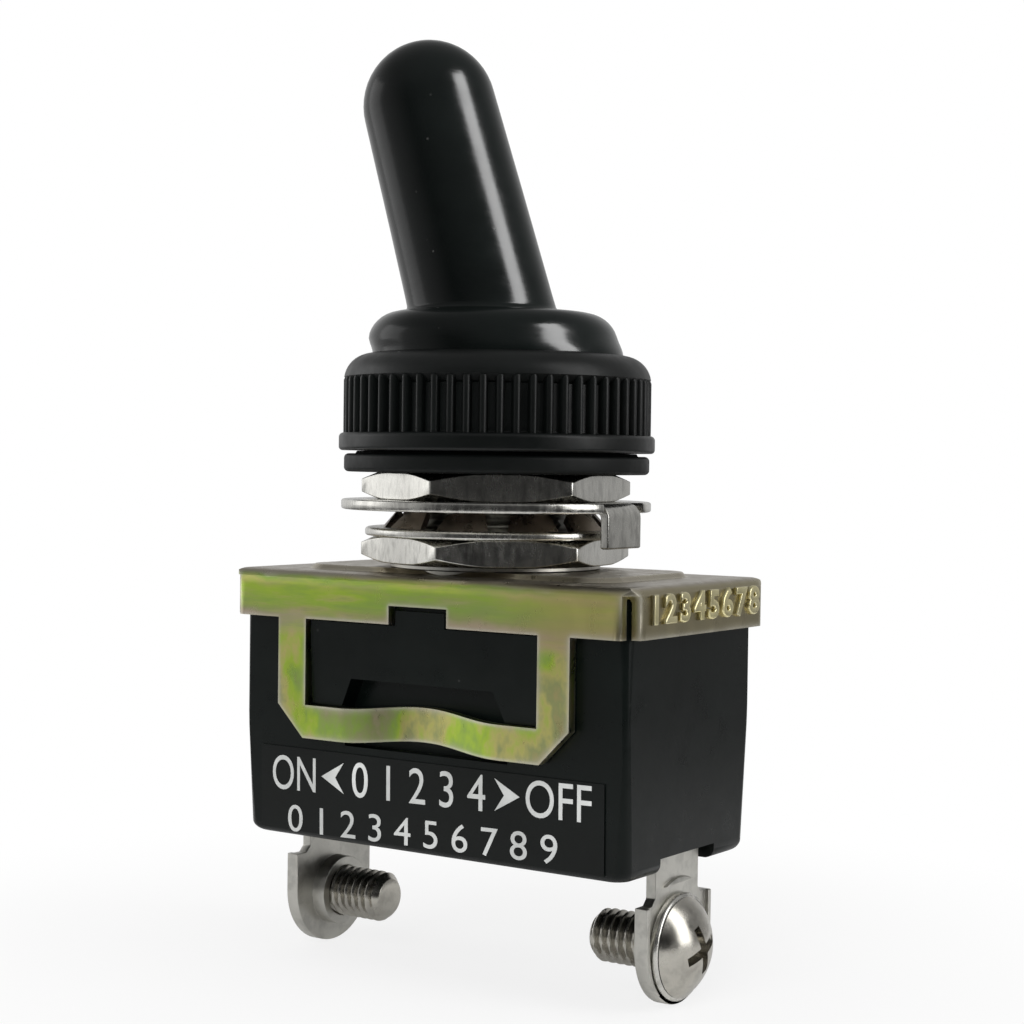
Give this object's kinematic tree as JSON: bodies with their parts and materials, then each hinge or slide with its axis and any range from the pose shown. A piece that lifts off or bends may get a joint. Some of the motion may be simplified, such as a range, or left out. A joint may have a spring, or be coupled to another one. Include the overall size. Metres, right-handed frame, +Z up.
{
  "type": "panel toggle switch",
  "caption": "Single-pole on-off panel toggle switch with a rubber boot over the lever, a threaded bushing with nuts and washers, and two screw terminals.",
  "frame": {"origin": "on the bushing axis, level with the flat top face of the bracket", "axes": "+Z up the bushing towards the lever, +X along the long side of the body, away from the side that the lever leans to at rest, +Y towards the unlabelled long side"},
  "size_m": [0.0326, 0.021, 0.0624],
  "materials": {
    "black_moulding": "black moulded phenolic, satin",
    "zinc_chromate": "yellow-green zinc chromate on steel",
    "fibre_board": "brown insulating fibre",
    "label_film": "black printed film",
    "nickel_steel": "nickel plate, satin",
    "nickel_brass": "nickel plate on brass",
    "boot_rubber": "black rubber, soft gloss",
    "disc_rubber": "black rubber, matt",
    "ring_plastic": "black plastic, matt",
    "lever_metal": "bright plate",
    "spring_steel": "plain wire",
    "plunger_plastic": "natural acetal",
    "copper_alloy": "bare copper alloy",
    "contact_silver": "silver"
  },
  "bodies": {
    "root": {"housing": "black_moulding", "bracket": "zinc_chromate", "insulator_plate": "fibre_board", "rating_label": "label_film", "bushing": "nickel_brass", "lower_nut": "nickel_steel", "lock_washer": "nickel_steel", "tab_washer": "nickel_steel", "upper_nut": "nickel_steel", "sealing_disc": "disc_rubber", "boot_nut": "ring_plastic", "lever_pin": "nickel_steel", "fixed_contact": "contact_silver", "terminal_left": "nickel_brass", "terminal_right": "nickel_brass", "terminal_screw_left": "nickel_steel", "terminal_screw_right": "nickel_steel", "screw_washer_left": "nickel_steel", "screw_washer_right": "nickel_steel"},
    "lever": {"lever": "lever_metal", "boot": "boot_rubber", "plunger_spring": "spring_steel"},
    "plunger": {"plunger": "plunger_plastic"},
    "rocker": {"rocker": "copper_alloy", "rocker_contact": "contact_silver"}
  },
  "joints": [
    {"name": "lever_tilt", "type": "hinge", "parent": "root", "child": "lever", "pos_m": [0, 0, 0.0105], "axis": [0, 1, 0], "range_deg": [0, 33], "deforming": ["boot"]},
    {"name": "plunger_slide", "type": "slide", "parent": "lever", "child": "plunger", "axis": [-0.284, 0, 0.9588], "range_m": [0, 0.001], "stiffness_N_per_m": 800, "springref_m": -0.002, "deforming": ["plunger_spring"]},
    {"name": "rocker_tilt", "type": "hinge", "parent": "root", "child": "rocker", "pos_m": [0, 0, -0.0106], "axis": [0, 1, 0], "range_deg": [-18, 0]}
  ],
  "couplings": [
    {"joint": "rocker_tilt", "follows": "lever_tilt", "ratio": -0.54545}
  ]
}
